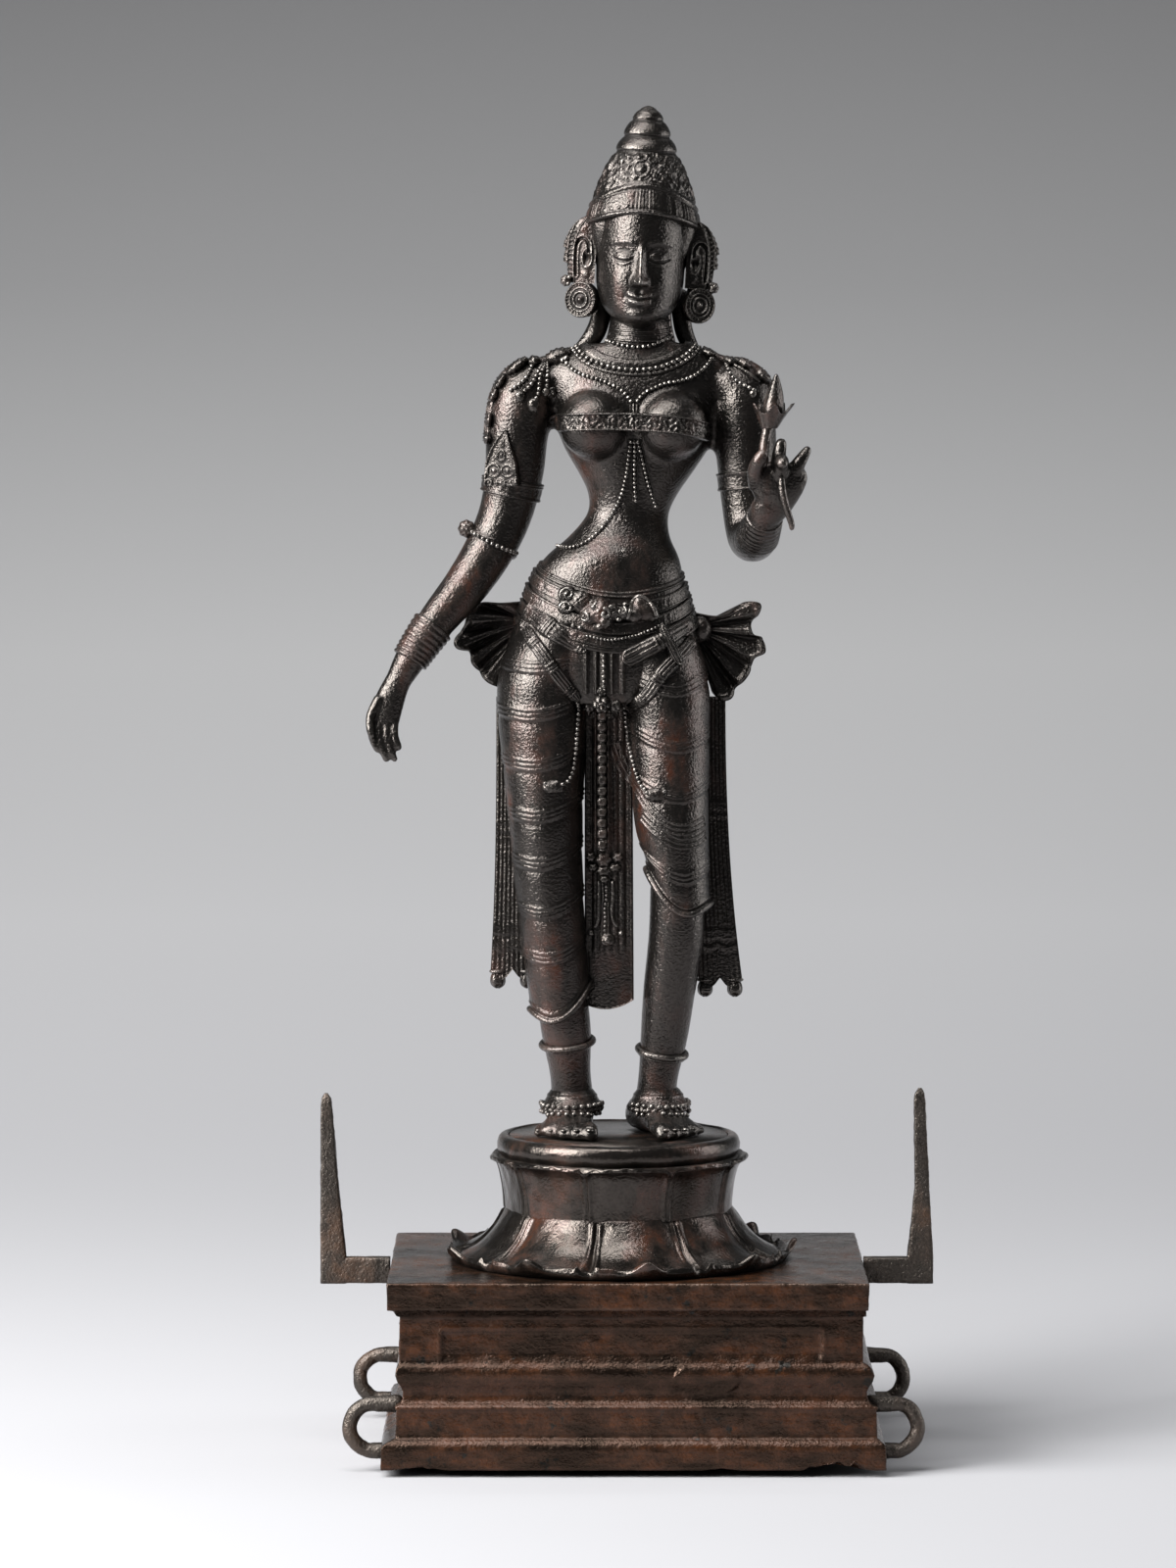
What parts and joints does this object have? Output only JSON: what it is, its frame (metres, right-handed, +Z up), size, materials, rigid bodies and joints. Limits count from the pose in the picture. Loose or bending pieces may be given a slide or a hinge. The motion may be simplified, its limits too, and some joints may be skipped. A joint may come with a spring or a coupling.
{
  "type": "sridevi figure",
  "caption": "Dark cast bronze standing goddess on a round double-lotus pedestal and a hollow moulded plinth with carrying loops and two upright halo prongs.",
  "frame": {"origin": "centre of the whole object's underside, on the surface it stands on", "axes": "+Z up, from the plinth to the crown; -Y is the front, the way the figure faces; +X is the side of the raised hand, the viewer's right"},
  "size_m": [0.363, 0.222, 0.7868],
  "materials": {
    "figure_bronze": "dark brown-black patina, worn smooth and reddish on the high points",
    "pedestal_bronze": "dark brown patina with grey highlights",
    "plinth_bronze": "red-brown patina, streaked and pitted",
    "bracket_bronze": "dull dark brown patina"
  },
  "bodies": {
    "root": {"figure": "figure_bronze", "lotus_pedestal": "pedestal_bronze", "plinth": "plinth_bronze", "halo_bracket_left": "bracket_bronze", "halo_bracket_right": "bracket_bronze"}
  },
  "joints": []
}
